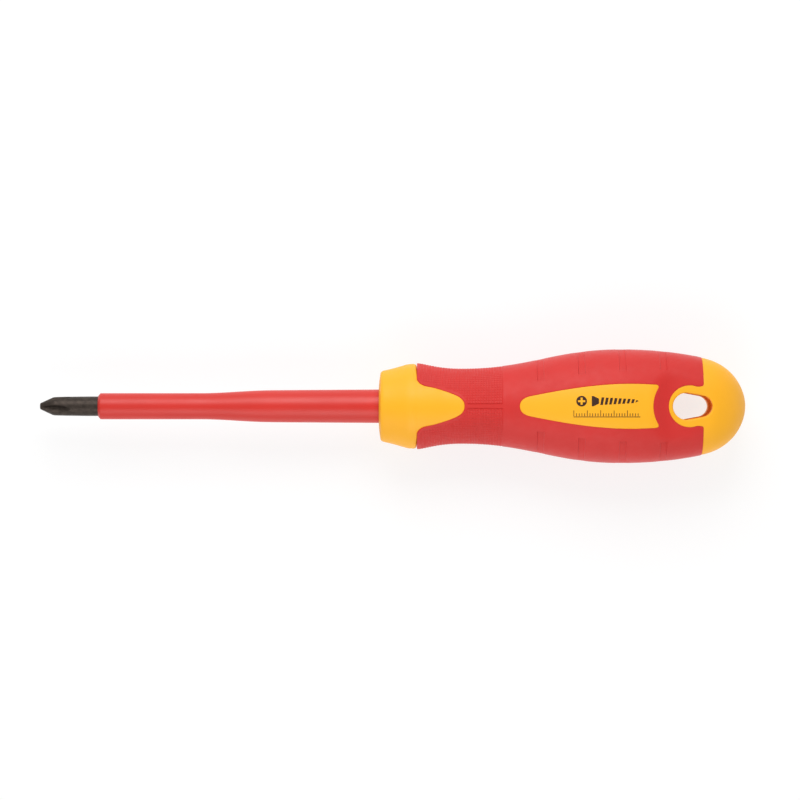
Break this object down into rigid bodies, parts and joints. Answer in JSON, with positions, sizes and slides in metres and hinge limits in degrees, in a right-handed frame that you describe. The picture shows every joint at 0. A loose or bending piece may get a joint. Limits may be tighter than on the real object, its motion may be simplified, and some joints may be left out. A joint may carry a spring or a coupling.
{
  "type": "insulated screwdriver",
  "caption": "Insulated cross-point screwdriver: a dark round blade in a red sleeve, with a waisted soft-grip handle, flat eye and hanging hole.",
  "frame": {"origin": "centre of the blunt end of the point, on the blade's axis", "axes": "+X along the blade to the end of the handle; +Z out of one broad face, along the axis of the hanging hole; +Y completes a right-handed frame"},
  "size_m": [0.2081, 0.0334, 0.0292],
  "materials": {
    "blade_steel": "black oxide, satin, slightly brown",
    "sleeve_red": "smooth moulded insulation, semi-gloss",
    "core_red": "moulded hard plastic, matt, seen only in the wall of the hanging hole",
    "body_yellow": "moulded hard plastic, satin",
    "grip_red": "soft moulded grip, satin, with a fine square knurl at the waist"
  },
  "bodies": {
    "root": {"blade": "blade_steel", "blade_sleeve": "sleeve_red", "handle_core": "core_red", "handle_body": "body_yellow", "soft_grip": "grip_red"}
  },
  "joints": []
}
